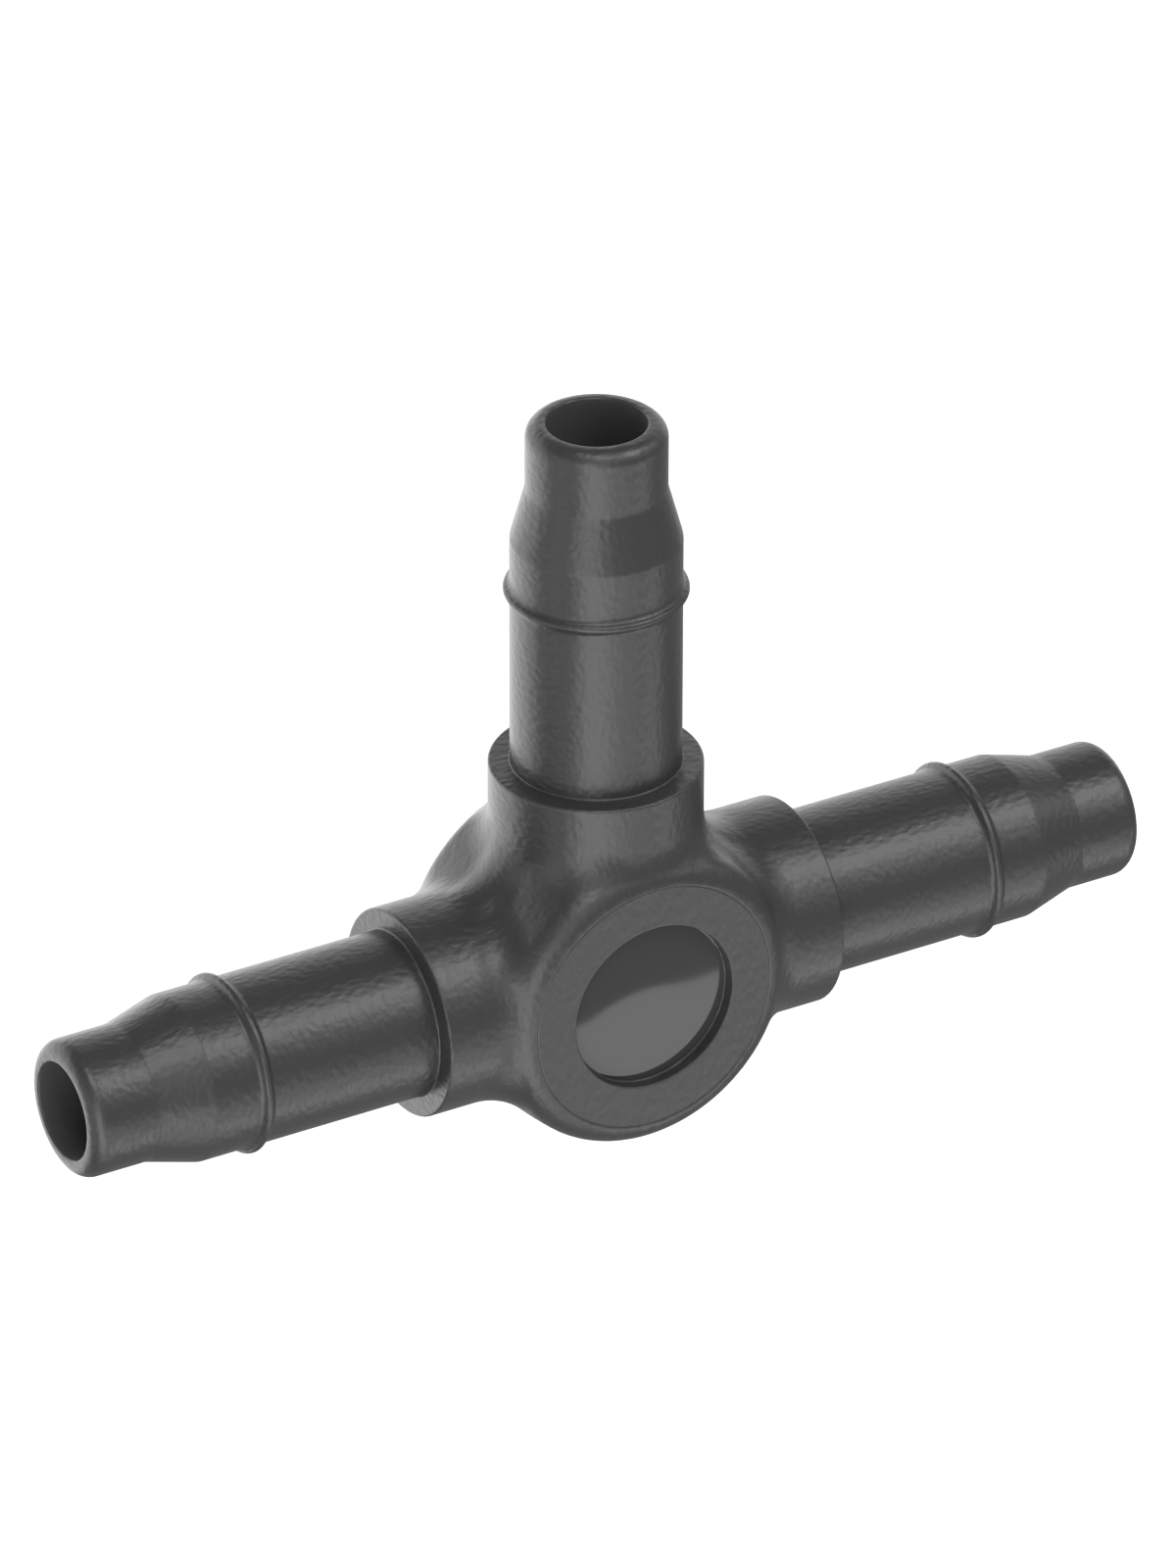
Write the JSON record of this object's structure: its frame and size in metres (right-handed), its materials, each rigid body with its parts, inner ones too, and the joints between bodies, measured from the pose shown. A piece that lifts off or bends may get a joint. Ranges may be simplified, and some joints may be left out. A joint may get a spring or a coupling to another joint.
{
  "type": "drip line tee",
  "caption": "Moulded plastic barbed tee for drip irrigation line: a run and a branch of equal spigots from a blended round hub with collars.",
  "frame": {"origin": "where the axes of the run's bore and the branch's bore cross, at the middle of the hub", "axes": "+X along the run, +Y along the branch, +Z out of the hub's upper face, which has the round recess; the tee lies on the hub's plain lower face"},
  "size_m": [0.0916, 0.0585, 0.0178],
  "materials": {
    "tee_body": "moulded dark grey plastic with a fine satin grain"
  },
  "bodies": {
    "root": {"tee_body": "tee_body"}
  },
  "joints": []
}
